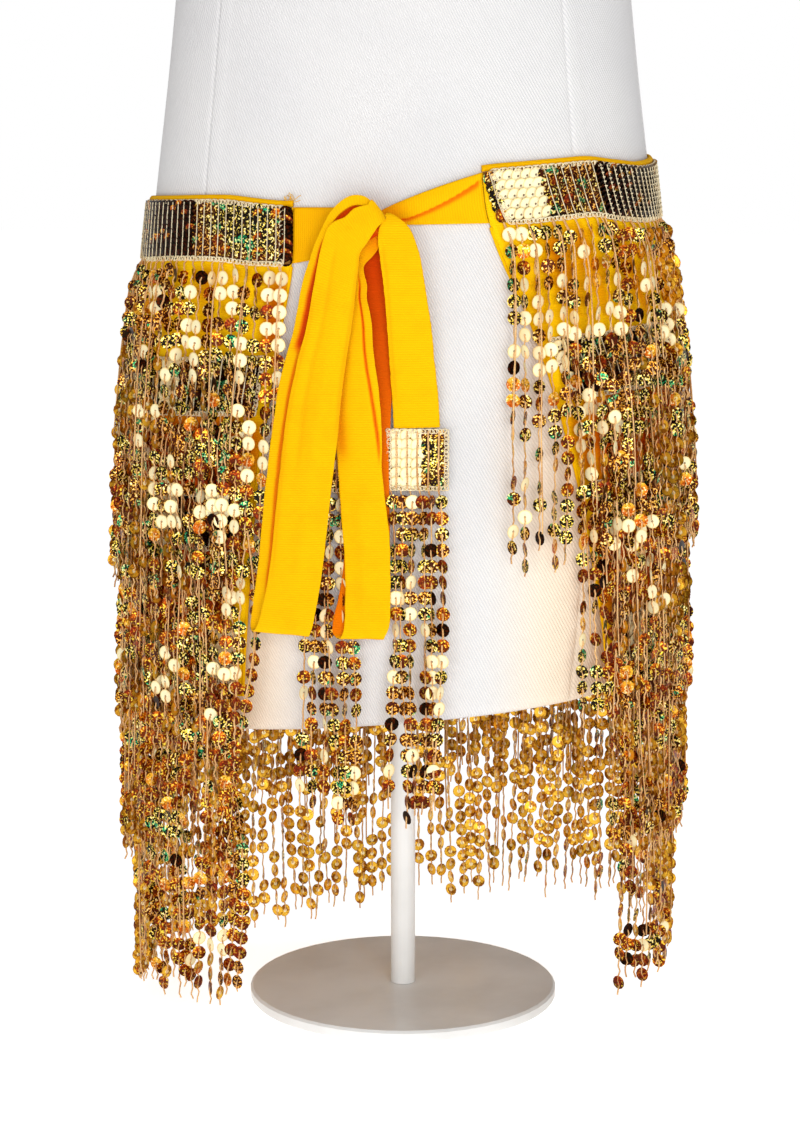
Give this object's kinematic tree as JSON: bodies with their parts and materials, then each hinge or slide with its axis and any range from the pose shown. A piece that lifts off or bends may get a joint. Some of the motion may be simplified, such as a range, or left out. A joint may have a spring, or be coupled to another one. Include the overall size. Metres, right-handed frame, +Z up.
{
  "type": "belly dance hip scarf on a dress form",
  "caption": "Wrap-round hip scarf with rows of sequin fringe, tied in a bow round a limbless dress form on a plain stand.",
  "frame": {"origin": "centre of the stand's underside", "axes": "+Z up, front of the form towards -Y, +X at the viewer's right"},
  "size_m": [0.3724, 0.2793, 0.706],
  "materials": {
    "canvas": "matt twill canvas",
    "stand_metal": "satin white",
    "yellow_cloth": "plain fine-ribbed cloth",
    "gold_sequins": "metallised discs on beige thread"
  },
  "bodies": {
    "root": {"form_body": "canvas", "stand_pole": "stand_metal", "stand_base": "stand_metal", "base_panel": "yellow_cloth", "top_binding": "yellow_cloth", "fringe_row_1": "gold_sequins", "fringe_row_2": "gold_sequins", "fringe_row_3": "gold_sequins", "fringe_row_4": "gold_sequins", "tie_left": "yellow_cloth", "tie_right": "yellow_cloth", "knot": "yellow_cloth", "loop_left": "yellow_cloth", "loop_right": "yellow_cloth", "tail_left": "yellow_cloth", "tail_right": "yellow_cloth", "tip_left": "gold_sequins", "tip_right": "gold_sequins"}
  },
  "joints": []
}
